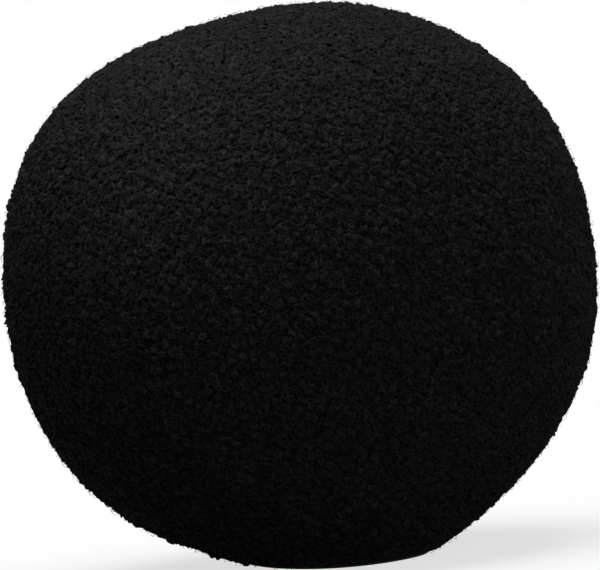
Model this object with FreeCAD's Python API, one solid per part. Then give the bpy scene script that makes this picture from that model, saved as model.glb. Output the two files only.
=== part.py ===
import FreeCAD, Part

import math
import os

from FreeCAD import Vector

# Ball windscreen for a pencil microphone: a two-part lattice ball that twists apart, with a rubber
# grip in its neck, inside a sewn cover of short curly loop pile. Millimetres and degrees. The axis
# of the ball, its neck and its mouth is Z, and the cover stands on the hem of its mouth at Z = 0.

# ---- Microphone grip, the innermost stack, from the axis outwards ----
MIC_BORE_RADIUS = 9.6  # rubber bore for a 19 mm microphone body
BOOT_WALL = 1.6
BOOT_LENGTH = 19.2
BOOT_GROOVES = 3
BOOT_GROOVE_WIDTH = 1.6
BOOT_GROOVE_DEPTH = 0.6
BOOT_CLEARANCE = 0.1  # boot and washer in the collar's bore, radial
NECK_PASS = 0.6  # how much wider than the rubber bore the hard pieces stay
COLLAR_WALL = 1.2
COLLAR_LIP = 1.8  # inner lip at the collar's top, which the boot is squeezed against
COLLAR_ENTRY = 1.6  # collar below the boot, where the washer enters
NUT_SQUEEZE = 0.8  # travel left between the nut's floor and the collar's end
NUT_CLEARANCE = 0.08  # nut on the collar, radial
NUT_WALL = 1.8
NUT_HEIGHT = 4.8
NUT_FLOOR = 1.6
NUT_STANDOFF = 1.2  # from the standing plane up to the tightened nut
NUT_GAP = 0.2  # from the tightened nut up to the collar's flange
NUT_NOTCHES = 16
NUT_NOTCH_RADIUS = 0.7
NUT_NOTCH_DEPTH = 0.5

# ---- Collar flange, backing ring and screws ----
FLANGE_THICKNESS = 1.8
BACKING_THICKNESS = 1.6
BACKING_CLEARANCE = 0.3
SCREWS = 4
SCREW_RADIUS = 1.0
SCREW_HOLE_CLEARANCE = 0.1
SCREW_HEAD_RADIUS = 1.9
SCREW_HEAD_HEIGHT = 1.2
SCREW_HEAD_GAP = 0.4  # from the screw head to the nut and to the flange's edge
DRIVE_WIDTH = 0.6
DRIVE_DEPTH = 0.5

# ---- Lattice ball ----
BALL_RADIUS = 50.0
BALL_WALL = 1.8
LAND_MARGIN = 5.8  # flat land at the ball's base, beyond the collar's flange that it carries
LAND_THICKNESS = 1.8
RIM_HEIGHT = 6.4  # closed rim of each half, beside the joint
RIB_WIDTH = 1.6
CROWN_BOSS_ANGLE = 10.0  # half angle of the closed disc at the crown
BAND_PITCH = 15.5  # distance between the lattice's level rings
WINDOW_PITCH = 12.5  # distance between its upright ribs
MESH_THICKNESS = 0.5
BOND_GAP = 0.1  # glue line between bonded curved faces

# ---- Twist joint between the halves ----
SEAL_THICKNESS = 1.2  # between the two rims
SEAL_SQUEEZE_GAP = 0.1
SEAL_INSET = 0.2
JOINT_RING_DEPTH = 5.5
JOINT_RING_WALL = 2.2
SPIGOT_WALL = 1.9
SPIGOT_HEIGHT = 5.0
SPIGOT_CLEARANCE = 0.15
LUGS = 4
LUG_WIDTH_ANGLE = 5.0
LUG_HEIGHT = 1.8
LUG_RISE = 1.9  # from the joint plane up to the lug's underside
LUG_REACH = 1.5
LUG_CLEARANCE = 0.2
TWIST_ANGLE = 18.0  # from locked to free

# ---- Cover ----
COVER_THICKNESS = 3.6  # knitted backing and loop pile together
COVER_CROWN_GAP = 0.3  # cover above the ball's crown, which it rests on
COVER_SIDE_SLACK = 2.4  # cover standing off the ball's widest line
CROWN_SLACK = 6.4  # how much flatter the cover's crown is than the ball
CROWN_ANGLE = 35.0  # from the axis to where the flat crown turns into the side
GORES = 6
HEM_GAP = 0.5  # from the nut out to the hem
HEM_WIDTH = 3.3
HEM_HEIGHT = 3.8
HEM_ROUNDING = 0.8
ELASTIC_RADIUS = 0.9
ELASTIC_CLEARANCE = 0.15

CUT = 1.0  # how far a cutter runs past what it cuts

# ---- Sizes that follow ----
BOOT_OUTER = MIC_BORE_RADIUS + BOOT_WALL
NECK_INNER = MIC_BORE_RADIUS + NECK_PASS
COLLAR_INNER = BOOT_OUTER + BOOT_CLEARANCE
COLLAR_OUTER = COLLAR_INNER + COLLAR_WALL
NUT_INNER = COLLAR_OUTER + NUT_CLEARANCE
NUT_OUTER = NUT_INNER + NUT_WALL
SCREW_CIRCLE = NUT_OUTER + SCREW_HEAD_GAP + SCREW_HEAD_RADIUS
FLANGE_OUTER = SCREW_CIRCLE + SCREW_HEAD_RADIUS + SCREW_HEAD_GAP
LAND_INNER = COLLAR_OUTER + BACKING_CLEARANCE
LAND_DROP = math.sqrt(BALL_RADIUS**2 - (FLANGE_OUTER + LAND_MARGIN) ** 2)

NUT_TOP = NUT_STANDOFF + NUT_HEIGHT
FLANGE_LOW = NUT_TOP + NUT_GAP
LAND_LOW = FLANGE_LOW + FLANGE_THICKNESS
LAND_TOP = LAND_LOW + LAND_THICKNESS
WASHER_LOW = NUT_STANDOFF + NUT_FLOOR
COLLAR_LOW = WASHER_LOW + NUT_SQUEEZE
BOOT_LOW = COLLAR_LOW + COLLAR_ENTRY
BOOT_TOP = BOOT_LOW + BOOT_LENGTH
COLLAR_TOP = BOOT_TOP + COLLAR_LIP

CENTRE = LAND_LOW + LAND_DROP  # height of the ball's centre, and of the twist joint
BALL_INNER = BALL_RADIUS - BALL_WALL
JOINT_RING_OUTER = math.sqrt(BALL_INNER**2 - JOINT_RING_DEPTH**2) - BOND_GAP
JOINT_RING_INNER = JOINT_RING_OUTER - JOINT_RING_WALL
SPIGOT_OUTER = JOINT_RING_INNER - SPIGOT_CLEARANCE
SPIGOT_INNER = SPIGOT_OUTER - SPIGOT_WALL

HEM_INNER = NUT_OUTER + HEM_GAP
HEM_OUTER = HEM_INNER + HEM_WIDTH
COVER_RADIUS = BALL_RADIUS + COVER_SIDE_SLACK + COVER_THICKNESS
COVER_HEIGHT = CENTRE + BALL_RADIUS + COVER_CROWN_GAP + COVER_THICKNESS


def spin(face, angle=360.0):
    """The solid that a face in the XZ plane sweeps about the Z axis."""
    return face.revolve(Vector(0, 0, 0), Vector(0, 0, 1), angle)


def polygon(*corners):
    """A flat face in the XZ plane from its (radius, height) corners."""
    points = [Vector(r, 0, z) for r, z in corners]
    return Part.Face(Part.makePolygon(points + points[:1]))


def ring(inner, outer, low, high):
    """A ring of rectangular section about the Z axis."""
    return spin(polygon((inner, low), (outer, low), (outer, high), (inner, high)))


def turned(shape, angle):
    """A copy of a shape, turned about the Z axis."""
    copy = shape.copy()
    copy.rotate(Vector(0, 0, 0), Vector(0, 0, 1), angle)
    return copy


def round_the_axis(shape, count, start=0.0):
    """Copies of a shape, evenly spaced about the Z axis."""
    return [turned(shape, start + 360.0 * i / count) for i in range(count)]


def sector(inner, outer, low, high, start, end):
    """The part of a ring between two angles about the Z axis."""
    face = polygon((inner, low), (outer, low), (outer, high), (inner, high))
    return turned(spin(face, end - start), start)


# ---- Cover ----


def cover_arcs():
    """Centre and radius of the cover's three tangent arcs: crown, side and underside."""
    lean = math.radians(CROWN_ANGLE)
    crown_radius = BALL_RADIUS + COVER_THICKNESS + CROWN_SLACK
    side_radius = (COVER_RADIUS - crown_radius * math.sin(lean)) / (1.0 - math.sin(lean))
    crown = (0.0, COVER_HEIGHT - crown_radius)
    step = crown_radius - side_radius
    side = (step * math.sin(lean), crown[1] + step * math.cos(lean))
    inset = COVER_RADIUS - HEM_OUTER
    under_radius = (inset**2 + side[1] ** 2) / (2.0 * inset)
    under = (COVER_RADIUS - under_radius, side[1])
    return (crown, crown_radius), (side, side_radius), (under, under_radius)


def on_arc(arc, depth, angle):
    """The point of an arc at an angle from the axis, moved in by depth."""
    (x, z), radius = arc
    a = math.radians(angle)
    return Vector(x + (radius - depth) * math.sin(a), 0, z + (radius - depth) * math.cos(a))


def cover_body(depth):
    """The cover's whole round body, with its surface moved in by depth."""
    crown, side, under = cover_arcs()
    (under_x, under_z), under_radius = under
    foot_angle = 180.0 - math.degrees(math.acos((under_z - depth) / (under_radius - depth)))
    top = on_arc(crown, depth, 0.0)
    shoulder = on_arc(crown, depth, CROWN_ANGLE)
    waist = on_arc(side, depth, 90.0)
    foot = on_arc(under, depth, foot_angle)
    middle = Vector(0, 0, depth)
    outline = Part.Wire(
        [
            Part.Arc(top, on_arc(crown, depth, 0.5 * CROWN_ANGLE), shoulder).toShape(),
            Part.Arc(shoulder, on_arc(side, depth, 0.5 * (CROWN_ANGLE + 90.0)), waist).toShape(),
            Part.Arc(waist, on_arc(under, depth, 0.5 * (foot_angle + 90.0)), foot).toShape(),
            Part.makeLine(foot, middle),
            Part.makeLine(middle, top),
        ]
    )
    return spin(Part.Face(outline))


def cover_gores():
    """The cover's sewn panels, pole to hem, each meeting its neighbours face to face."""
    skin = cover_body(0.0).cut(cover_body(COVER_THICKNESS))
    mouth = ring(0.0, HEM_OUTER + BOND_GAP, -CUT, 2.0 * HEM_HEIGHT)
    skin = skin.cut(mouth)
    width = 360.0 / GORES
    far = COVER_RADIUS + CUT
    top = COVER_HEIGHT + CUT
    gores = {}
    for i in range(GORES):
        wedge = sector(0.0, far, -CUT, top, i * width, (i + 1) * width)
        gores[f"cover_gore_{i + 1}"] = skin.common(wedge)
    return gores


def mouth_binding():
    """The folded hem tape at the mouth, with the channel that the elastic runs in."""
    tape = ring(HEM_INNER, HEM_OUTER, 0.0, HEM_HEIGHT)
    inner_edges = [
        e
        for e in tape.Edges
        if isinstance(e.Curve, Part.Circle) and abs(e.Curve.Radius - HEM_INNER) < 0.01
    ]
    tape = tape.makeFillet(HEM_ROUNDING, inner_edges)
    middle = 0.5 * (HEM_INNER + HEM_OUTER)
    channel = Part.makeTorus(middle, ELASTIC_RADIUS + ELASTIC_CLEARANCE, Vector(0, 0, 0.5 * HEM_HEIGHT))
    return tape.cut(channel)


def hem_elastic():
    """The round elastic in the hem's channel."""
    middle = 0.5 * (HEM_INNER + HEM_OUTER)
    return Part.makeTorus(middle, ELASTIC_RADIUS, Vector(0, 0, 0.5 * HEM_HEIGHT))


# ---- Lattice ball ----


def ball_shell(outer, inner):
    """A whole hollow ball about the ball's centre."""
    middle = Vector(0, 0, CENTRE)
    return Part.makeSphere(outer, middle).cut(Part.makeSphere(inner, middle))


def slab(low, high):
    """Everything between two heights above the ball's centre."""
    reach = 2.0 * BALL_RADIUS
    return Part.makeCylinder(reach, high - low, Vector(0, 0, CENTRE + low))


def lattice_windows(first, last):
    """Cutters for the lattice's windows, in level bands between two angles from the crown."""
    span = math.radians(last - first) * BALL_RADIUS
    bands = max(1, round(span / BAND_PITCH))
    step = (last - first) / bands
    half_rib = 0.5 * math.degrees(RIB_WIDTH / BALL_RADIUS)
    near = 0.8 * BALL_RADIUS  # cutters reach well past both faces of the shell
    far = 1.2 * BALL_RADIUS
    corner = Vector(-far, -0.5 * RIB_WIDTH, CENTRE - 2.0 * far)
    rib = Part.makeBox(2.0 * far, RIB_WIDTH, 4.0 * far, corner)
    cutters = []
    for band in range(bands):
        a = math.radians(first + band * step + (half_rib if band else 0.0))
        b = math.radians(first + (band + 1) * step - (half_rib if band < bands - 1 else 0.0))
        corners = [(near, a), (far, a), (far, b), (near, b)]
        belt = spin(polygon(*[(r * math.sin(t), CENTRE + r * math.cos(t)) for r, t in corners]))
        girth = 2.0 * math.pi * BALL_RADIUS * math.sin(0.5 * (a + b))
        windows = 4 * max(2, round(girth / WINDOW_PITCH / 4.0))
        stagger = 180.0 / windows if band % 2 else 0.0
        ribs = [turned(rib, stagger + 360.0 * i / windows) for i in range(windows // 2)]
        cutters += belt.cut(ribs).Solids
    return cutters


def rim_angle():
    """Angle from the crown to the edge of the closed rim beside the joint."""
    return math.degrees(math.acos(RIM_HEIGHT / BALL_RADIUS))


def upper_cage():
    """The upper half of the lattice ball, closed at its crown and its rim."""
    half = ball_shell(BALL_RADIUS, BALL_INNER).common(slab(0.5 * SEAL_THICKNESS, 2.0 * BALL_RADIUS))
    return half.cut(lattice_windows(CROWN_BOSS_ANGLE, rim_angle()))


def lower_cage():
    """The lower half of the lattice ball, with the flat land that carries the collar."""
    half = ball_shell(BALL_RADIUS, BALL_INNER).common(slab(-LAND_DROP, -0.5 * SEAL_THICKNESS))
    land_angle = math.degrees(math.acos((LAND_THICKNESS - LAND_DROP) / BALL_RADIUS))
    half = half.cut(lattice_windows(180.0 - rim_angle(), land_angle))
    land = ring(LAND_INNER, BALL_RADIUS, LAND_LOW, LAND_TOP)
    land = land.common(Part.makeSphere(BALL_RADIUS, Vector(0, 0, CENTRE)))
    return half.fuse(land).cut(screw_holes()).removeSplitter()


def mesh_lining(low, high):
    """Fine acoustic mesh bonded inside the lattice, between two heights above the centre."""
    outer = BALL_INNER - BOND_GAP
    return ball_shell(outer, outer - MESH_THICKNESS).common(slab(low, high))


# ---- Twist joint ----


def joint_heights():
    """Heights of the upper ring's underside and of the shoulder that it bears on."""
    underside = CENTRE + 0.5 * SEAL_THICKNESS
    return underside, underside - SPIGOT_CLEARANCE


def upper_joint_ring():
    """The ring bonded in the upper rim, with the lugs of the twist joint on its inside."""
    underside, _ = joint_heights()
    body = ring(JOINT_RING_INNER, JOINT_RING_OUTER, underside, CENTRE + JOINT_RING_DEPTH)
    low = CENTRE + LUG_RISE
    half = 0.5 * LUG_WIDTH_ANGLE
    tip = JOINT_RING_INNER - LUG_REACH
    root = JOINT_RING_INNER + 0.5 * JOINT_RING_WALL
    lug = sector(tip, root, low, low + LUG_HEIGHT, -half, half)
    return body.fuse(round_the_axis(lug, LUGS)).removeSplitter()


def lower_joint_ring():
    """The ring bonded in the lower rim, with the slotted spigot that the lugs lock into."""
    _, shoulder = joint_heights()
    low = CENTRE - JOINT_RING_DEPTH
    body = ring(SPIGOT_INNER, JOINT_RING_OUTER, low, shoulder)
    spigot = ring(SPIGOT_INNER, SPIGOT_OUTER, low, CENTRE + SPIGOT_HEIGHT)
    body = body.fuse(spigot)
    slack = math.degrees(LUG_CLEARANCE / SPIGOT_OUTER)
    half = 0.5 * LUG_WIDTH_ANGLE + slack
    near = SPIGOT_INNER - CUT
    far = SPIGOT_OUTER + 0.5 * SPIGOT_CLEARANCE
    slot_low = CENTRE + LUG_RISE - LUG_CLEARANCE
    slot_high = CENTRE + LUG_RISE + LUG_HEIGHT + LUG_CLEARANCE
    run = sector(near, far, slot_low, slot_high, -half, TWIST_ANGLE + half)
    top = CENTRE + SPIGOT_HEIGHT + CUT
    entry = sector(near, far, slot_low, top, TWIST_ANGLE - half, TWIST_ANGLE + half)
    slot = run.fuse(entry)
    return body.cut(round_the_axis(slot, LUGS)).removeSplitter()


def joint_seal():
    """The soft gasket on the lower rim, which the upper rim presses on."""
    low = CENTRE - 0.5 * SEAL_THICKNESS
    high = CENTRE + 0.5 * SEAL_THICKNESS - SEAL_SQUEEZE_GAP
    return ring(BALL_INNER + SEAL_INSET, BALL_RADIUS - SEAL_INSET, low, high)


# ---- Neck ----


def screw_holes():
    """Cutters for the screws' holes through the flange, the land and the backing ring."""
    low = FLANGE_LOW - CUT
    high = LAND_TOP + BACKING_THICKNESS + CUT
    radius = SCREW_RADIUS + SCREW_HOLE_CLEARANCE
    hole = Part.makeCylinder(radius, high - low, Vector(SCREW_CIRCLE, 0, low))
    return round_the_axis(hole, SCREWS, 180.0 / SCREWS)


def neck_collar():
    """The tube that holds the rubber grip, its top lip, and the flange screwed to the land."""
    tube = ring(COLLAR_INNER, COLLAR_OUTER, COLLAR_LOW, BOOT_TOP)
    lip = ring(NECK_INNER, COLLAR_OUTER, BOOT_TOP, COLLAR_TOP)
    flange = ring(COLLAR_INNER, FLANGE_OUTER, FLANGE_LOW, LAND_LOW)
    return tube.fuse([lip, flange]).cut(screw_holes()).removeSplitter()


def backing_ring():
    """The ring inside the ball that the collar's screws pull against."""
    body = ring(LAND_INNER, FLANGE_OUTER, LAND_TOP, LAND_TOP + BACKING_THICKNESS)
    return body.cut(screw_holes())


def collar_screws():
    """The collar's slotted screws, driven from below."""
    length = LAND_TOP + BACKING_THICKNESS - FLANGE_LOW
    shank = Part.makeCylinder(SCREW_RADIUS, length, Vector(SCREW_CIRCLE, 0, FLANGE_LOW))
    head_low = FLANGE_LOW - SCREW_HEAD_HEIGHT
    head = Part.makeCylinder(SCREW_HEAD_RADIUS, SCREW_HEAD_HEIGHT, Vector(SCREW_CIRCLE, 0, head_low))
    reach = SCREW_HEAD_RADIUS + CUT
    corner = Vector(SCREW_CIRCLE - reach, -0.5 * DRIVE_WIDTH, head_low - CUT)
    drive = Part.makeBox(2.0 * reach, DRIVE_WIDTH, DRIVE_DEPTH + CUT, corner)
    screw = shank.fuse(head).cut(drive)
    return Part.makeCompound(round_the_axis(screw, SCREWS, 180.0 / SCREWS))


def mic_boot():
    """The rubber grip, grooved outside so that it bulges inwards when it is squeezed."""
    body = ring(MIC_BORE_RADIUS, BOOT_OUTER, BOOT_LOW, BOOT_TOP)
    pitch = BOOT_LENGTH / (BOOT_GROOVES + 1)
    for i in range(BOOT_GROOVES):
        low = BOOT_LOW + (i + 1) * pitch - 0.5 * BOOT_GROOVE_WIDTH
        high = low + BOOT_GROOVE_WIDTH
        body = body.cut(ring(BOOT_OUTER - BOOT_GROOVE_DEPTH, BOOT_OUTER + CUT, low, high))
    return body


def thrust_washer():
    """The slip washer between the nut, which turns, and the boot, which doesn't."""
    return ring(NECK_INNER, BOOT_OUTER, WASHER_LOW, BOOT_LOW)


def clamp_nut():
    """The nut on the collar, notched for the fingers, with the floor that lifts the washer."""
    body = ring(NUT_INNER, NUT_OUTER, NUT_STANDOFF, NUT_TOP)
    floor = ring(NECK_INNER, NUT_OUTER, NUT_STANDOFF, NUT_STANDOFF + NUT_FLOOR)
    middle = NUT_OUTER + NUT_NOTCH_RADIUS - NUT_NOTCH_DEPTH
    low = Vector(middle, 0, NUT_STANDOFF - CUT)
    notch = Part.makeCylinder(NUT_NOTCH_RADIUS, NUT_HEIGHT + 2.0 * CUT, low)
    return body.fuse(floor).cut(round_the_axis(notch, NUT_NOTCHES)).removeSplitter()


def build():
    """Every piece by its name."""
    pieces = cover_gores()
    pieces["mouth_binding"] = mouth_binding()
    pieces["hem_elastic"] = hem_elastic()
    pieces["upper_cage"] = upper_cage()
    pieces["lower_cage"] = lower_cage()
    pieces["upper_mesh"] = mesh_lining(JOINT_RING_DEPTH + BOND_GAP, BALL_RADIUS)
    pieces["lower_mesh"] = mesh_lining(LAND_THICKNESS + BOND_GAP - LAND_DROP, -JOINT_RING_DEPTH - BOND_GAP)
    pieces["upper_joint_ring"] = upper_joint_ring()
    pieces["lower_joint_ring"] = lower_joint_ring()
    pieces["joint_seal"] = joint_seal()
    pieces["neck_collar"] = neck_collar()
    pieces["backing_ring"] = backing_ring()
    pieces["collar_screws"] = collar_screws()
    pieces["mic_boot"] = mic_boot()
    pieces["thrust_washer"] = thrust_washer()
    pieces["clamp_nut"] = clamp_nut()
    return pieces


def main():
    os.makedirs("parts", exist_ok=True)
    for name, shape in build().items():
        print(name, shape.isValid(), len(shape.Solids), round(shape.Volume, 1))
        shape.exportStep(f"parts/{name}.step")


main()
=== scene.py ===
import math

import bpy
import numpy as np
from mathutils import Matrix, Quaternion, Vector
from mathutils import noise as perlin


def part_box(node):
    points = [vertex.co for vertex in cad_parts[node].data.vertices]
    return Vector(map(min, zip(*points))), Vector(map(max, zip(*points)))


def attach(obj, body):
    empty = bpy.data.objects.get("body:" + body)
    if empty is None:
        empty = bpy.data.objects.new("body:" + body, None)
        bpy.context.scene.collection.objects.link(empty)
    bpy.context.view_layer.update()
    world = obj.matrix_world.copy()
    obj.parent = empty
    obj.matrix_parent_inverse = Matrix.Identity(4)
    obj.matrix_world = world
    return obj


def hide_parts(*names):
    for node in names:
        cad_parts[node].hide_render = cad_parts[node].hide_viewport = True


# Ball windscreen in a cover of short curly loop pile. Metres, in the CAD frame: Z is the axis of the
# ball and its mouth, and the hem stands at Z = 0. The camera looks along +Y.

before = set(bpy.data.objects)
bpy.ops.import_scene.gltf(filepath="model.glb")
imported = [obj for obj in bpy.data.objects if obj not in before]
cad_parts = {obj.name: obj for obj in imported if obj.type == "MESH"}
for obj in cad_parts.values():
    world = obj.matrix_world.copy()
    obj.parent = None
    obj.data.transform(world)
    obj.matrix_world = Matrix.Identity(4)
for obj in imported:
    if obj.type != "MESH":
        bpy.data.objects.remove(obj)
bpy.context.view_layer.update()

MM = 0.001
TURN = 2.0 * math.pi
GORES = 6
BANDS = ("crown", "side", "foot")  # the pieces that a gore's nubs are split into, from the top down

# ---- The slumped ball: tips of the pile, as a radius about the ball's middle ----
MIDDLE = Vector((-1.2, 0.0, 52.9)) * MM
MEAN_RADIUS = 55.45 * MM
BACK_FULLNESS = 0.25 * MM  # how much further the ball reaches at the back, and less far at the front
SLUMP = (  # waves round the side outline: count, height in millimetres, phase in degrees
    (2, 1.44, -174.0),
    (3, 0.75, 149.0),
    (4, 0.63, -174.0),
    (5, 0.44, 104.0),
    (6, 0.19, -39.0),
    (7, 0.20, 61.0),
)
FOOT_TOP = 0.6 * math.pi  # angle from the crown below which the ball can be pressed flat
FOOT_EDGE = 0.8 * MM  # softness of the edge where the foot is pressed flat
FOOT_WIDTH = 9.0 * MM  # the stretch round the foot where the pile comes down, 3 times it in front
FOOT_APRON = 3.2 * MM  # how much further the flat foot reaches in front and behind
HEM_RISE = 1.8 * MM  # how far the hem lifts off the floor on the left, where the ball leans away
MOUTH_ANGLE = 0.88 * math.pi  # angle from the crown to the mouth, roughly
MOUTH_ROUNDS = 4  # of working that angle out more closely

# ---- Cloth ----
PILE_DEPTH = 1.15 * MM
CLOTH_THICKNESS = 1.2 * MM
CLOTH_STEPS = (60, 160)  # across and down a gore
CROWN_ANGLE = 0.004  # how far from the crown a gore's tip starts
FLOOR_GAP = 0.03 * MM

# ---- Pile: nubs made of curled loops of yarn, with deeper curls between them ----
# A pair holds the least and the most. Sizes without MM are in millimetres, jitters are shares of the
# spacing, sweeps, leans and tilts are in degrees, and spreads and turns are in radians each way.
GOLDEN_TURN = math.pi * (1.0 + math.sqrt(5.0))  # from one direction to the next, for an even cover
NUBS = 10400
NUB_JITTER = 0.34
NUB_RADIUS = (0.65, 1.15)
NUB_SINK = 0.12  # how deep a nub sits, as a spread at random
LUMP_HEIGHT = 0.55 * MM  # of the low, wide waves in the pile
LUMP_WIDTH = 5.0 * MM
CURLS_PER_NUB = 5
CURL_RADIUS = (0.32, 0.66)
CURL_RISE = (0.35, 0.8)  # of the middle of a curl above its ends
CURL_SWEEP = (210.0, 400.0)
CURL_LEAN = (0.0, 72.0)
CURL_WOBBLE = 0.22  # share of its radius that a curl swings in and out
CURL_STEPS = 6
MIDDLE_TILT = 8.0  # of the curl on top of a nub
OUTER_TILT = 48.0  # of the curls round it
TILT_SPREAD = 0.25
SPIN_SPREAD = 0.4
YARN_RADIUS = 0.28 * MM
YARN_THICKNESS = (0.75, 1.2)  # of one strand, as a share of its layer's yarn
YARN_UNEVENNESS = 0.208  # of a strand's thickness along its length, each way
YARN_TAPER = 0.45  # share of its thickness that a strand loses towards its ends
DEEP_CURLS = 33000
DEEP_JITTER = 0.45
DEEP_RADIUS = (0.45, 0.9)
DEEP_RANGE = (0.3, 0.75)  # how far under the tips their tops are
DEEP_STEPS = 5
DEEP_YARN_RADIUS = 0.38 * MM
FIBRES = 9000
FIBRE_JITTER = 0.5
FIBRE_REACH = (0.5, 1.5)  # along the skin
FIBRE_HEIGHT = (0.15, 0.95)  # of its arch, above its root
FIBRE_ARCH = 2.4  # how much of a half wave the arch is
FIBRE_ROOT = 0.5 * MM  # how far under the tips it starts
FIBRE_TURN = 2.6
FIBRE_STEPS = 5
FIBRE_RADIUS = 0.032 * MM
SOFTNESS = 0.45  # share of the pile's own outward direction in how a strand is shaded
STRAND_SHARE = 0.4  # of a strand's tint that is its own

# ---- Hem ----
HEM_SQUARENESS = 0.55  # of the tape's section: 1 is round and 0 is square
HEM_SQUEEZE = 0.2  # share of its height that the hem gives up where it is lifted most
GATHERS = 36
GATHER_DEPTH = 0.35 * MM
GROOVE_DEPTH = 0.25 * MM  # of the line of stitches underneath
GROOVE_WIDTH = 0.45 * MM
HEM_STITCHES = 60
STITCH_SPAN = (0.12, 0.88)  # part of a stitch's pitch that shows
STITCH_HEIGHT = 0.31 * MM  # of a stitch's ends over the hem's standing face
STITCH_BOW = 0.1 * MM
STITCH_STEPS = 6
STITCH_SIDES = 6
THREAD_RADIUS = 0.17 * MM
RING_STEPS = 432
SECTION_STEPS = 32

# The hem and its elastic, from the CAD
HEM_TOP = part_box("mouth_binding")[1].z
HEM_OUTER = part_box("mouth_binding")[1].x
ELASTIC_RADIUS = 0.5 * (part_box("hem_elastic")[1].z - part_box("hem_elastic")[0].z)
HEM_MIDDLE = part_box("hem_elastic")[1].x - ELASTIC_RADIUS
CLOTH_EDGE = HEM_OUTER - 0.7 * MM  # the cloth's edge is sewn into the tape
PILE_EDGE = HEM_OUTER + 0.55 * MM

# ---- Studio: places and sizes in metres, power in watts ----
FLOOR_SIZE = 6.0
WORLD_LIGHT = 0.02  # strength of the white world for all that the camera doesn't see directly
FLOOR_TONE = (0.15, 0.85)  # of the floor as the object sees it, and as the camera does
FLOOR_GLOW = 0.7  # of the floor under the object
SHADOW_REACH = (0.03, 0.14)  # the floor turns plain white between these distances
TOP_LAMP = (-0.03, -0.08, 0.98)
FRONT_LAMP = (0.35, -0.75, 0.30)
WINDOW_LAMP = (-0.36, -0.70, 0.62)
WINDOW_AIM = Vector((-25.0, -40.0, 84.0)) * MM  # the lighter patch on the upper left
WINDOW_ANGLE = 5.0
CAMERA_DISTANCE = 1.0
CAMERA_ELEVATION = 2.0
CAMERA_ROLL = -5.9
CAMERA_LENS = 317.5
CAMERA_AIM = MIDDLE - Vector((0.20, 0.0, 0.08)) * MM


def smooth(x):
    """0 below 0, 1 above 1, and a smooth step between."""
    x = np.clip(x, 0.0, 1.0)
    return x * x * (3.0 - 2.0 * x)


def hem_rise(azimuth):
    """How far the hem is off the floor: nothing on the right, most on the left."""
    return HEM_RISE * (0.5 - 0.5 * np.cos(azimuth)) ** 3


def foot_radius(azimuth):
    """How far out the flat foot reaches."""
    return HEM_OUTER + FOOT_APRON * np.sin(azimuth) ** 2


def radius_at(polar, azimuth):
    """Distance from the ball's middle to the tips of its pile."""
    total = MEAN_RADIUS + BACK_FULLNESS * np.sin(polar) * np.sin(azimuth)
    for count, height, phase in SLUMP:
        turn = math.radians(phase)
        level = math.cos(turn) * np.cos(count * polar)
        lean = math.sin(turn) * np.sin(count * polar) * np.cos(azimuth)
        total = total + height * MM * (level + lean)
    return total


def foot_drop(azimuth):
    """How far the ball's own curve stays above the hem, at the flat foot's edge."""
    polar = math.pi - np.arcsin(foot_radius(azimuth) / MEAN_RADIUS)
    reach = foot_radius(azimuth) - MIDDLE.x * np.cos(azimuth)
    level = MIDDLE.z - np.sqrt(radius_at(polar, azimuth) ** 2 - reach**2)
    return np.maximum(level - hem_rise(azimuth), 0.0)


def skin_point(polar, azimuth):
    """The point of the pile's tips in a direction, with the foot pressed flat on the floor."""
    radius = radius_at(polar, azimuth)
    x = MIDDLE.x + radius * np.sin(polar) * np.cos(azimuth)
    y = MIDDLE.y + radius * np.sin(polar) * np.sin(azimuth)
    z = MIDDLE.z + radius * np.cos(polar)
    front = np.sin(azimuth) ** 2
    held = 1.0 - smooth((np.hypot(x, y) - foot_radius(azimuth)) / (FOOT_WIDTH * (1.0 + 2.0 * front)))
    base = hem_rise(azimuth) + FLOOR_GAP
    above = z - foot_drop(azimuth) * held - base
    seated = base + 0.5 * (above + np.hypot(above, FOOT_EDGE * (1.0 + front)))
    return np.stack([x, y, np.where(polar > FOOT_TOP, seated, z)], axis=-1)


def unit(v):
    """The vectors at length 1."""
    return v / np.maximum(np.linalg.norm(v, axis=-1, keepdims=True), 1e-12)


def skin_frame(polar, azimuth):
    """Point, two tangents and outward normal of the skin in a direction."""
    step = 1e-3
    point = skin_point(polar, azimuth)
    down = unit(skin_point(polar + step, azimuth) - skin_point(polar - step, azimuth))
    round_it = np.stack([-np.sin(azimuth), np.cos(azimuth), np.zeros_like(azimuth)], axis=-1)
    normal = unit(np.cross(down, round_it))
    across = unit(np.cross(normal, down))
    return point, down, across, normal


def mouth_polar(radius, azimuth):
    """Angle from the crown at which the skin comes in to a radius round the mouth."""
    polar = np.full_like(azimuth, MOUTH_ANGLE)
    for _ in range(MOUTH_ROUNDS):
        reach = radius - MIDDLE.x * np.cos(azimuth)
        polar = math.pi - np.arcsin(reach / radius_at(polar, azimuth))
    return polar


def mesh_piece(name, vertices, faces, material):
    """A new smooth mesh piece that rides on the lower half, as the whole cover does."""
    mesh = bpy.data.meshes.new(name)
    vertices = np.asarray(vertices, np.float32)
    mesh.vertices.add(len(vertices))
    mesh.vertices.foreach_set("co", vertices.ravel())
    corners = np.concatenate([np.asarray(f, np.int32).ravel() for f in faces])
    sizes = np.concatenate([np.full(len(f), np.asarray(f).shape[1], np.int32) for f in faces])
    mesh.loops.add(len(corners))
    mesh.loops.foreach_set("vertex_index", corners)
    mesh.polygons.add(len(sizes))
    starts = np.concatenate([[0], np.cumsum(sizes)[:-1]]).astype(np.int32)
    mesh.polygons.foreach_set("loop_start", starts)
    mesh.polygons.foreach_set("use_smooth", np.ones(len(sizes), bool))
    mesh.update(calc_edges=True)
    mesh.materials.append(material)
    piece = bpy.data.objects.new(name, mesh)
    bpy.context.collection.objects.link(piece)
    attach(piece, "lower_half")
    return piece


# ---- Yarn ----


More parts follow.
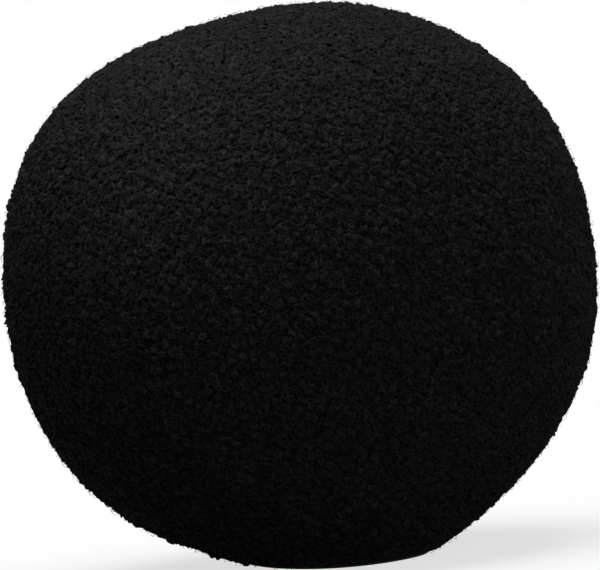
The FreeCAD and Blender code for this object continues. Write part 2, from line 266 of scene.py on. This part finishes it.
def pile_directions(rng, count, jitter):
    """Directions spread evenly from the crown down to the hem, each moved a little at random."""
    lowest = float(mouth_polar(PILE_EDGE, np.array([0.0, math.pi])).max())
    i = np.arange(count) + 0.5
    polar = np.arccos(1.0 - (1.0 - math.cos(lowest)) * i / count)
    azimuth = GOLDEN_TURN * i
    pitch = math.sqrt(TURN * (1.0 - math.cos(lowest)) / count)
    polar = polar + rng.uniform(-jitter, jitter, count) * pitch
    azimuth = azimuth + rng.uniform(-jitter, jitter, count) * pitch / np.maximum(np.sin(polar), 0.05)
    polar = np.abs(polar)
    kept = polar < mouth_polar(PILE_EDGE, azimuth)
    return polar[kept], azimuth[kept] % TURN


def curl_lines(rng, axis, side, radius, steps):
    """Centre lines of curled loops about the origin, their middles raised along the axis."""
    count = len(radius)
    other = np.cross(axis, side)
    lean = np.radians(rng.uniform(*CURL_LEAN, count))
    heading = rng.uniform(0.0, TURN, count)
    slope = np.cos(heading)[:, None] * side + np.sin(heading)[:, None] * other
    curl_axis = np.cos(lean)[:, None] * axis + np.sin(lean)[:, None] * slope
    u = np.cross(axis, slope)
    v = np.cross(curl_axis, u)
    sweep = np.radians(rng.uniform(*CURL_SWEEP, count))
    t = np.linspace(0.0, 1.0, steps)
    angle = rng.uniform(0.0, TURN, count)[:, None] + sweep[:, None] * t
    reach = radius[:, None] * (1.0 + CURL_WOBBLE * np.sin(3.0 * angle + heading[:, None]))
    rise = rng.uniform(*CURL_RISE, count)[:, None] * MM * np.sin(math.pi * t)
    lines = (
        (reach * np.cos(angle))[..., None] * u[:, None]
        + (reach * np.sin(angle))[..., None] * v[:, None]
        + rise[..., None] * axis[:, None]
    )
    return lines, curl_axis


def seat_under(lines, axis, ceiling):
    """The lines moved along the axis, so that each one's highest point is at the ceiling."""
    top = np.einsum("nki,ni->nk", lines, axis).max(axis=1)
    return lines + (ceiling - top)[:, None, None] * axis[:, None]


def nub_curls(rng):
    """Curls grouped into nubs: lines, their axes, and each curl's angles on the ball."""
    polar, azimuth = pile_directions(rng, NUBS, NUB_JITTER)
    nubs = len(polar)
    point, down, across, normal = skin_frame(polar, azimuth)
    size = rng.uniform(*NUB_RADIUS, nubs) * MM
    lumps = np.array([perlin.noise(Vector(p) / LUMP_WIDTH) for p in point])
    sink = YARN_RADIUS + size + np.abs(rng.normal(0.0, NUB_SINK, nubs)) * MM - LUMP_HEIGHT * lumps
    centre = point - sink[:, None] * normal

    each = np.arange(CURLS_PER_NUB)
    tilt = np.radians(np.where(each == 0, MIDDLE_TILT, OUTER_TILT))
    tilt = tilt + rng.uniform(-TILT_SPREAD, TILT_SPREAD, (nubs, CURLS_PER_NUB))
    spin = rng.uniform(0.0, TURN, (nubs, 1)) + TURN * each / (CURLS_PER_NUB - 1)
    spin = spin + rng.uniform(-SPIN_SPREAD, SPIN_SPREAD, spin.shape)
    over = np.cos(spin)[..., None] * down[:, None] + np.sin(spin)[..., None] * across[:, None]
    axis = np.cos(tilt)[..., None] * normal[:, None] + np.sin(tilt)[..., None] * over
    axis = unit(axis.reshape(-1, 3))
    side = unit(np.cross(axis, np.repeat(across, CURLS_PER_NUB, axis=0)))
    radius = rng.uniform(*CURL_RADIUS, nubs * CURLS_PER_NUB) * MM
    lines, ups = curl_lines(rng, axis, side, radius, CURL_STEPS)
    lines = seat_under(lines, axis, np.repeat(size, CURLS_PER_NUB))
    lines = lines + np.repeat(centre, CURLS_PER_NUB, axis=0)[:, None]
    outward = unit(axis + np.repeat(normal, CURLS_PER_NUB, axis=0))
    return lines, ups, outward, np.repeat(polar, CURLS_PER_NUB), np.repeat(azimuth, CURLS_PER_NUB)


def deep_curls(rng):
    """Curls lower down that fill the gaps between the nubs."""
    polar, azimuth = pile_directions(rng, DEEP_CURLS, DEEP_JITTER)
    point, down, across, normal = skin_frame(polar, azimuth)
    radius = rng.uniform(*DEEP_RADIUS, len(polar)) * MM
    lines, ups = curl_lines(rng, normal, down, radius, DEEP_STEPS)
    lines = seat_under(lines, normal, -rng.uniform(*DEEP_RANGE, len(polar)) * MM)
    return lines + point[:, None], ups, normal, polar, azimuth


def loose_fibres(rng):
    """Fine fibres that stand a little out of the pile."""
    polar, azimuth = pile_directions(rng, FIBRES, FIBRE_JITTER)
    count = len(polar)
    point, down, across, normal = skin_frame(polar, azimuth)
    t = np.linspace(0.0, 1.0, FIBRE_STEPS)
    heading = rng.uniform(0.0, TURN, count)[:, None]
    heading = heading + rng.uniform(-FIBRE_TURN, FIBRE_TURN, count)[:, None] * t
    reach = rng.uniform(*FIBRE_REACH, count)[:, None] * MM * t
    height = rng.uniform(*FIBRE_HEIGHT, count)[:, None] * MM * np.sin(FIBRE_ARCH * t) - FIBRE_ROOT
    lines = (
        point[:, None]
        + (reach * np.cos(heading))[..., None] * down[:, None]
        + (reach * np.sin(heading))[..., None] * across[:, None]
        + height[..., None] * normal[:, None]
    )
    return lines, normal, normal, polar, azimuth


def yarn_tubes(rng, lines, ups, radius, sides):
    """Closed tubes along the lines, a little uneven in thickness: vertices, faces, outward sides."""
    count, steps = lines.shape[:2]
    along = unit(np.gradient(lines, axis=1))
    side = unit(np.cross(along, ups[:, None]))
    over = np.cross(along, side)
    t = np.linspace(0.0, 1.0, steps)
    taper = 1.0 - YARN_TAPER + YARN_TAPER * np.sin(math.pi * t) ** 0.5
    thick = radius * rng.uniform(*YARN_THICKNESS, (count, 1)) * taper
    thick = thick * (1.0 + rng.uniform(-YARN_UNEVENNESS, YARN_UNEVENNESS, (count, steps)))
    angle = TURN * np.arange(sides) / sides
    rim = np.cos(angle)[:, None] * side[:, :, None] + np.sin(angle)[:, None] * over[:, :, None]
    vertices = (lines[:, :, None] + thick[..., None, None] * rim).reshape(-1, 3)
    vertices[:, 2] = np.maximum(vertices[:, 2], FLOOR_GAP)

    first = np.arange(count)[:, None, None] * steps * sides
    row = np.arange(steps - 1)[None, :, None] * sides
    a = np.arange(sides)[None, None]
    b = (a + 1) % sides
    corners = (first + row + a, first + row + b, first + row + sides + b, first + row + sides + a)
    walls = np.stack(np.broadcast_arrays(*corners), axis=-1).reshape(-1, 4)
    start_caps = first[:, 0] + np.arange(sides)[::-1]
    end_caps = first[:, 0] + (steps - 1) * sides + np.arange(sides)
    return vertices, [walls, start_caps, end_caps], rim


def soften(piece, rim, outward):
    """Shades strands partly by the pile they stand in, because their fine fibres scatter the light."""
    normals = unit((1.0 - SOFTNESS) * rim + SOFTNESS * outward[:, None, None])
    piece.data.normals_split_custom_set_from_vertices(normals.reshape(-1, 3))


# ---- Materials ----


def new_material(name):
    """A material, its node tree and its shader."""
    material = bpy.data.materials.new(name)
    material.use_nodes = True
    tree = material.node_tree
    return material, tree, tree.nodes["Principled BSDF"]


def node(tree, kind, **values):
    """A new node with its settings."""
    made = tree.nodes.new(kind)
    for key, value in values.items():
        setattr(made, key, value)
    return made


def noise(tree, scale, detail, roughness=0.5):
    """Noise in the object's own coordinates."""
    place = node(tree, "ShaderNodeTexCoord")
    made = node(tree, "ShaderNodeTexNoise")
    made.inputs["Scale"].default_value = scale
    made.inputs["Detail"].default_value = detail
    made.inputs["Roughness"].default_value = roughness
    tree.links.new(place.outputs["Object"], made.inputs["Vector"])
    return made.outputs["Fac"]


def waves(tree, pitch, direction, distortion):
    """Even ribs across the object, a pitch apart: the texture repeats every TURN / 20 at scale 1."""
    place = node(tree, "ShaderNodeTexCoord")
    made = node(tree, "ShaderNodeTexWave", bands_direction=direction)
    made.inputs["Scale"].default_value = TURN / (20.0 * pitch)
    made.inputs["Distortion"].default_value = distortion
    tree.links.new(place.outputs["Object"], made.inputs["Vector"])
    return made.outputs["Fac"]


def two_tone(tree, shader, value, dark, light, low=0.3, high=0.7):
    """Base colour that goes from dark to light with a value."""
    ramp = node(tree, "ShaderNodeValToRGB")
    ramp.color_ramp.elements[0].position = low
    ramp.color_ramp.elements[0].color = (*dark, 1.0)
    ramp.color_ramp.elements[1].position = high
    ramp.color_ramp.elements[1].color = (*light, 1.0)
    tree.links.new(value, ramp.inputs["Fac"])
    tree.links.new(ramp.outputs["Color"], shader.inputs["Base Color"])


def relief(tree, shader, value, depth, strength):
    """A bump that follows a value."""
    bump = node(tree, "ShaderNodeBump")
    bump.inputs["Strength"].default_value = strength
    bump.inputs["Distance"].default_value = depth
    tree.links.new(value, bump.inputs["Height"])
    tree.links.new(bump.outputs["Normal"], shader.inputs["Normal"])


def vary_roughness(tree, shader, value, low, high):
    """Roughness that goes from low to high with a value."""
    spread = node(tree, "ShaderNodeMapRange")
    spread.inputs["To Min"].default_value = low
    spread.inputs["To Max"].default_value = high
    tree.links.new(value, spread.inputs["Value"])
    tree.links.new(spread.outputs["Result"], shader.inputs["Roughness"])


def pile_material(name, dark, light):
    """Matte black wool-like yarn: each strand has its own tint, on top of fine clouds of tint."""
    material, tree, shader = new_material(name)
    strand = node(tree, "ShaderNodeNewGeometry")
    mixed = node(tree, "ShaderNodeMix")
    mixed.inputs["Factor"].default_value = STRAND_SHARE
    tree.links.new(noise(tree, 420.0, 3.0, 0.75), mixed.inputs["A"])
    tree.links.new(strand.outputs["Random Per Island"], mixed.inputs["B"])
    two_tone(tree, shader, mixed.outputs["Result"], dark, light, 0.3, 0.8)
    relief(tree, shader, noise(tree, 5200.0, 2.0), 0.05 * MM, 0.5)
    shader.inputs["Roughness"].default_value = 0.9
    shader.inputs["Specular IOR Level"].default_value = 0.03
    shader.inputs["Sheen Weight"].default_value = 0.005
    shader.inputs["Sheen Roughness"].default_value = 0.6
    return material


def backing_material():
    """Dark knitted backing under the pile."""
    material, tree, shader = new_material("knit_backing_black")
    two_tone(tree, shader, noise(tree, 900.0, 2.0), (0.0065, 0.0065, 0.007), (0.013, 0.013, 0.014))
    relief(tree, shader, waves(tree, 0.9 * MM, "Z", 3.0), 0.15 * MM, 0.7)
    shader.inputs["Roughness"].default_value = 0.95
    shader.inputs["Specular IOR Level"].default_value = 0.1
    return material


def tape_material():
    """Woven black tape with fine slanting ribs."""
    material, tree, shader = new_material("hem_tape_black")
    ribs = waves(tree, 0.55 * MM, "DIAGONAL", 0.6)
    two_tone(tree, shader, ribs, (0.009, 0.009, 0.0095), (0.021, 0.021, 0.022))
    relief(tree, shader, ribs, 0.12 * MM, 0.8)
    shader.inputs["Roughness"].default_value = 0.8
    shader.inputs["Specular IOR Level"].default_value = 0.1
    shader.inputs["Sheen Weight"].default_value = 0.02
    return material


def thread_material():
    """Twisted sewing thread."""
    material, tree, shader = new_material("hem_thread_black")
    twist = waves(tree, 0.3 * MM, "DIAGONAL", 0.0)
    two_tone(tree, shader, twist, (0.013, 0.013, 0.014), (0.035, 0.035, 0.037))
    relief(tree, shader, twist, 0.05 * MM, 0.7)
    shader.inputs["Roughness"].default_value = 0.6
    return material


def elastic_material():
    """Covered elastic: a braid of thin yarns round the rubber."""
    material, tree, shader = new_material("elastic_braid")
    braid = waves(tree, 0.45 * MM, "X", 1.5)
    two_tone(tree, shader, braid, (0.014, 0.014, 0.014), (0.03, 0.03, 0.03))
    relief(tree, shader, braid, 0.08 * MM, 0.8)
    shader.inputs["Roughness"].default_value = 0.75
    return material


def moulded_material(name, dark, light, grain, roughness):
    """Moulded plastic or rubber: fine grain, faint flow marks and uneven gloss."""
    material, tree, shader = new_material(name)
    two_tone(tree, shader, noise(tree, 140.0, 4.0), dark, light)
    relief(tree, shader, noise(tree, 1.0 / grain, 2.0), 0.12 * grain, 0.45)
    vary_roughness(tree, shader, noise(tree, 420.0, 3.0), *roughness)
    return material


def mesh_material():
    """Acoustic mesh: fine knitted cells with raised threads."""
    material, tree, shader = new_material("acoustic_mesh_black")
    place = node(tree, "ShaderNodeTexCoord")
    cells = node(tree, "ShaderNodeTexVoronoi", feature="DISTANCE_TO_EDGE")
    cells.inputs["Scale"].default_value = 1.0 / (0.7 * MM)
    cells.inputs["Randomness"].default_value = 0.35
    tree.links.new(place.outputs["Object"], cells.inputs["Vector"])
    depth = cells.outputs["Distance"]
    two_tone(tree, shader, depth, (0.055, 0.055, 0.058), (0.006, 0.006, 0.006), 0.08, 0.22)
    relief(tree, shader, depth, -0.25 * MM, 0.8)
    shader.inputs["Roughness"].default_value = 0.7
    return material


def steel_material():
    """Plain steel with fine turning marks."""
    material, tree, shader = new_material("screw_steel")
    marks = noise(tree, 3500.0, 1.0)
    two_tone(tree, shader, noise(tree, 600.0, 2.0), (0.36, 0.36, 0.37), (0.52, 0.52, 0.53))
    relief(tree, shader, marks, 0.03 * MM, 0.4)
    vary_roughness(tree, shader, marks, 0.22, 0.42)
    shader.inputs["Metallic"].default_value = 1.0
    return material


def dress_cad_parts():
    """Materials on the hard parts inside the cover, whose shapes come from the CAD."""
    cage_tones = (0.018, 0.018, 0.019), (0.032, 0.032, 0.034)
    ring_tones = (0.024, 0.024, 0.025), (0.036, 0.036, 0.038)
    rubber_tones = (0.022, 0.022, 0.022), (0.036, 0.036, 0.035)
    acetal_tones = (0.55, 0.55, 0.52), (0.64, 0.64, 0.62)
    cage = moulded_material("cage_nylon", *cage_tones, 0.35 * MM, (0.48, 0.66))
    ring = moulded_material("ring_satin", *ring_tones, 0.6 * MM, (0.3, 0.44))
    rubber = moulded_material("soft_rubber", *rubber_tones, 0.5 * MM, (0.68, 0.86))
    acetal = moulded_material("washer_acetal", *acetal_tones, 0.5 * MM, (0.28, 0.42))
    shader = acetal.node_tree.nodes["Principled BSDF"]
    shader.inputs["Subsurface Weight"].default_value = 0.15
    shader.inputs["Subsurface Scale"].default_value = 0.5 * MM
    finish = {
        cage: ("upper_cage", "lower_cage"),
        ring: ("upper_joint_ring", "lower_joint_ring", "neck_collar", "backing_ring", "clamp_nut"),
        rubber: ("joint_seal", "mic_boot"),
        acetal: ("thrust_washer",),
        mesh_material(): ("upper_mesh", "lower_mesh"),
        steel_material(): ("collar_screws",),
    }
    for material, names in finish.items():
        for name in names:
            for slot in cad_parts[name].material_slots:
                slot.material = material


# ---- Cover ----


def cover_cloth(i, material):
    """A gore's knitted backing: a closed shell under the pile."""
    across_steps, down_steps = CLOTH_STEPS
    azimuths = np.linspace(i, i + 1, across_steps + 1) * TURN / GORES
    shares, a = np.meshgrid(np.linspace(0.0, 1.0, down_steps + 1), azimuths, indexing="ij")
    p = CROWN_ANGLE + (mouth_polar(CLOTH_EDGE, a) - CROWN_ANGLE) * shares
    point, _, _, normal = skin_frame(p.ravel(), a.ravel())
    outer = point - PILE_DEPTH * normal
    inner = point - (PILE_DEPTH + CLOTH_THICKNESS) * normal
    n = across_steps + 1
    total = (down_steps + 1) * n
    j, k = np.meshgrid(np.arange(down_steps), np.arange(across_steps), indexing="ij")
    q = (j * n + k).ravel()
    outside = np.stack([q, q + n, q + n + 1, q + 1], axis=-1)
    inside = np.stack([q, q + 1, q + n + 1, q + n], axis=-1) + total
    top = np.arange(across_steps)
    bottom = down_steps * n + top
    left = np.arange(down_steps) * n
    right = left + across_steps
    edges = [
        np.stack([top + 1 + total, top + total, top, top + 1], axis=-1),
        np.stack([bottom + total, bottom + 1 + total, bottom + 1, bottom], axis=-1),
        np.stack([left + total, left + n + total, left + n, left], axis=-1),
        np.stack([right + n + total, right + total, right, right + n], axis=-1),
    ]
    vertices = np.concatenate([outer, inner])
    return mesh_piece(f"cover_cloth_{i + 1}", vertices, [outside, inside, *edges], material)


# ---- Hem ----


def ring_piece(name, radius, height, material):
    """A closed ring about the axis from its section's radius and height at each angle."""
    around, section = radius.shape
    azimuth = (np.arange(around) * TURN / around)[:, None]
    squeezed = 1.0 - HEM_SQUEEZE * hem_rise(azimuth) / HEM_RISE
    lifted = height * squeezed + hem_rise(azimuth)
    vertices = np.stack([radius * np.cos(azimuth), radius * np.sin(azimuth), lifted], axis=-1)
    a = np.arange(around)[:, None] * section
    b = (np.arange(around)[:, None] + 1) % around * section
    k = np.arange(section)[None]
    m = (k + 1) % section
    walls = np.stack([a + k, b + k, b + m, a + m], axis=-1).reshape(-1, 4)
    return mesh_piece(name, vertices.reshape(-1, 3), [walls], material)


def boxy(v):
    """A sine or cosine bent towards a square section."""
    return np.sign(v) * np.abs(v) ** HEM_SQUARENESS


def hem():
    """Folded tape round the mouth, gathered by the elastic inside it and stitched underneath."""
    rng = np.random.default_rng(11)
    azimuth = (np.arange(RING_STEPS) * TURN / RING_STEPS)[:, None]
    turn = (np.arange(SECTION_STEPS) * TURN / SECTION_STEPS)[None]
    half_width = HEM_OUTER - HEM_MIDDLE
    half_height = 0.5 * HEM_TOP
    radius = HEM_MIDDLE + half_width * boxy(np.cos(turn)) + 0.0 * azimuth
    height = half_height * (1.0 + boxy(np.sin(turn))) + 0.0 * azimuth
    wander = 0.6 * np.sin(3.0 * azimuth + 1.0) + 0.4 * np.sin(7.0 * azimuth)
    gather = np.sin(GATHERS * azimuth + wander) * (0.6 + 0.4 * np.sin(5.0 * azimuth + 2.0))
    out = np.cos(turn) * (0.55 + 0.45 * np.sin(turn))
    radius = radius - GATHER_DEPTH * (0.5 + 0.5 * gather) * out
    groove = np.exp(-(((radius - HEM_MIDDLE) / GROOVE_WIDTH) ** 2)) * (np.sin(turn) < 0.0)
    height = height + GROOVE_DEPTH * groove
    tape = ring_piece("hem_tape_ring", radius, height, tape_material())
    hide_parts("mouth_binding")

    start = (np.arange(HEM_STITCHES) * TURN / HEM_STITCHES)[:, None]
    run = start + np.linspace(*STITCH_SPAN, STITCH_STEPS) * TURN / HEM_STITCHES
    bow = STITCH_BOW * np.sin(math.pi * np.linspace(0.0, 1.0, STITCH_STEPS))
    rise = hem_rise(run) + STITCH_HEIGHT - bow
    lines = np.stack([HEM_MIDDLE * np.cos(run), HEM_MIDDLE * np.sin(run), rise], axis=-1)
    ups = np.tile([0.0, 0.0, 1.0], (HEM_STITCHES, 1))
    vertices, faces, _ = yarn_tubes(rng, lines, ups, THREAD_RADIUS, STITCH_SIDES)
    stitches = mesh_piece("hem_stitches", vertices, faces, thread_material())
    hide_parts("mouth_binding")

    radius = HEM_MIDDLE + ELASTIC_RADIUS * np.cos(turn) + 0.0 * azimuth
    height = half_height + ELASTIC_RADIUS * np.sin(turn) + 0.0 * azimuth
    cord = ring_piece("elastic_ring", radius, height, elastic_material())
    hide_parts("hem_elastic")


def cover():
    """The six gores of the cover, each a cloth with its own pile of curled loops."""
    rng = np.random.default_rng(7)
    pile = pile_material("loop_pile_black", (0.0085, 0.0086, 0.0090), (0.0245, 0.0246, 0.0258))
    # The underpile's tones are darker than the pile's: painted shade in the gaps between the nubs,
    # though the yarn is the same black
    under = pile_material("underpile_black_painted_shade", (0.0065, 0.0066, 0.0070), (0.0150, 0.0151, 0.0158))
    backing = backing_material()
    layers = (  # title, strands, yarn, sides of a strand, pieces in a gore, material
        ("pile", nub_curls(rng), YARN_RADIUS, 4, BANDS, pile),
        ("underpile", deep_curls(rng), DEEP_YARN_RADIUS, 3, ("",), under),
        ("fuzz", loose_fibres(rng), FIBRE_RADIUS, 3, ("",), pile),
    )
    for i in range(GORES):
        node_name = f"cover_gore_{i + 1}"
        cloth = cover_cloth(i, backing)
        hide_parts(node_name)
        for title, (lines, ups, outward, polar, azimuth), radius, sides, bands, material in layers:
            mine = np.flatnonzero((azimuth // (TURN / GORES)).astype(int) % GORES == i)
            mine = mine[np.argsort(polar[mine], kind="stable")]
            for band, part in zip(bands, np.array_split(mine, len(bands))):
                vertices, faces, rim = yarn_tubes(rng, lines[part], ups[part], radius, sides)
                name = "_".join(word for word in ("cover", title, str(i + 1), band) if word)
                piece = mesh_piece(name, vertices, faces, material)
                soften(piece, rim, outward[part])
                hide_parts(node_name)


# ---- Studio ----


def studio():
    """White floor and backdrop, and soft lamps."""
    world = bpy.data.worlds.new("studio")
    bpy.context.scene.world = world
    world.use_nodes = True
    tree = world.node_tree
    background = tree.nodes["Background"]
    background.inputs["Color"].default_value = (1.0, 1.0, 1.0, 1.0)
    strength = node(tree, "ShaderNodeMapRange")
    strength.inputs["To Min"].default_value = WORLD_LIGHT
    strength.inputs["To Max"].default_value = 1.0
    tree.links.new(seen_directly(tree), strength.inputs["Value"])
    tree.links.new(strength.outputs["Result"], background.inputs["Strength"])

    bpy.ops.mesh.primitive_plane_add(size=FLOOR_SIZE, location=(0.0, 0.0, 0.0))
    floor = bpy.context.active_object
    floor.name = "floor"
    floor.data.materials.append(floor_material())

    lamp("top", TOP_LAMP, size=0.85, power=9.8)
    lamp("front", FRONT_LAMP, size=0.6, power=1.8)
    spot("window", WINDOW_LAMP, WINDOW_AIM, angle=WINDOW_ANGLE, power=14.0)


def seen_directly(tree):
    """1 for what the camera sees, directly, mirrored or through glass, and 0 for light on the object."""
    path = node(tree, "ShaderNodeLightPath")
    either = node(tree, "ShaderNodeMath", operation="MAXIMUM")
    any_of = node(tree, "ShaderNodeMath", operation="MAXIMUM")
    tree.links.new(path.outputs["Is Camera Ray"], either.inputs[0])
    tree.links.new(path.outputs["Is Glossy Ray"], either.inputs[1])
    tree.links.new(either.outputs[0], any_of.inputs[0])
    tree.links.new(path.outputs["Is Transmission Ray"], any_of.inputs[1])
    return any_of.outputs[0]


def floor_material():
    """Pale floor that keeps the object's shadow near it and turns plain white further out."""
    material, tree, shader = new_material("floor_white")
    shader.inputs["Roughness"].default_value = 0.9
    tone = node(tree, "ShaderNodeMapRange")
    tone.inputs["To Min"].default_value = FLOOR_TONE[0]
    tone.inputs["To Max"].default_value = FLOOR_TONE[1]
    seen = seen_directly(tree)
    tree.links.new(seen, tone.inputs["Value"])
    tree.links.new(tone.outputs["Result"], shader.inputs["Base Color"])
    glow = node(tree, "ShaderNodeEmission")
    place = node(tree, "ShaderNodeTexCoord")
    length = node(tree, "ShaderNodeVectorMath", operation="LENGTH")
    tree.links.new(place.outputs["Object"], length.inputs[0])
    far = node(tree, "ShaderNodeMapRange", interpolation_type="SMOOTHSTEP")
    far.inputs["From Min"].default_value = SHADOW_REACH[0]
    far.inputs["From Max"].default_value = SHADOW_REACH[1]
    far.inputs["To Min"].default_value = FLOOR_GLOW
    tree.links.new(length.outputs["Value"], far.inputs["Value"])
    shown = node(tree, "ShaderNodeMath", operation="MULTIPLY")
    tree.links.new(far.outputs["Result"], shown.inputs[0])
    tree.links.new(seen, shown.inputs[1])
    mix = node(tree, "ShaderNodeMixShader")
    tree.links.new(shown.outputs[0], mix.inputs["Fac"])
    tree.links.new(shader.outputs["BSDF"], mix.inputs[1])
    tree.links.new(glow.outputs["Emission"], mix.inputs[2])
    tree.links.new(mix.outputs["Shader"], tree.nodes["Material Output"].inputs["Surface"])
    return material


def lamp(name, place, size, power):
    """A round soft lamp that faces the ball."""
    data = bpy.data.lights.new(name, "AREA")
    data.shape = "DISK"
    data.size = size
    data.energy = power
    aim(name, data, place, MIDDLE)


def spot(name, place, target, angle, power):
    """A narrow lamp with a soft edge that faces a point."""
    data = bpy.data.lights.new(name, "SPOT")
    data.spot_size = math.radians(angle)
    data.spot_blend = 1.0
    data.shadow_soft_size = 0.02
    data.energy = power
    aim(name, data, place, target)


def aim(name, data, place, target):
    """Sets a lamp up at a place, turned to a target."""
    made = bpy.data.objects.new(name, data)
    made.location = place
    made.rotation_mode = "QUATERNION"
    made.rotation_quaternion = (target - made.location).to_track_quat("-Z", "Y")
    bpy.context.collection.objects.link(made)


def camera():
    """The photo's view: nearly level, from the front, with the ball leaning to one side."""
    data = bpy.data.cameras.new("camera")
    data.lens = CAMERA_LENS
    data.clip_start = 0.05
    made = bpy.data.objects.new("camera", data)
    bpy.context.collection.objects.link(made)
    e = math.radians(CAMERA_ELEVATION)
    back = Vector((0.0, -math.cos(e), math.sin(e)))
    made.location = CAMERA_AIM + back * CAMERA_DISTANCE
    made.rotation_mode = "QUATERNION"
    level = (-back).to_track_quat("-Z", "Y")
    made.rotation_quaternion = level @ Quaternion((0.0, 0.0, 1.0), math.radians(CAMERA_ROLL))
    bpy.context.scene.camera = made


cover()
hem()
dress_cad_parts()
studio()
camera()

bpy.context.scene.view_settings.view_transform = "Standard"
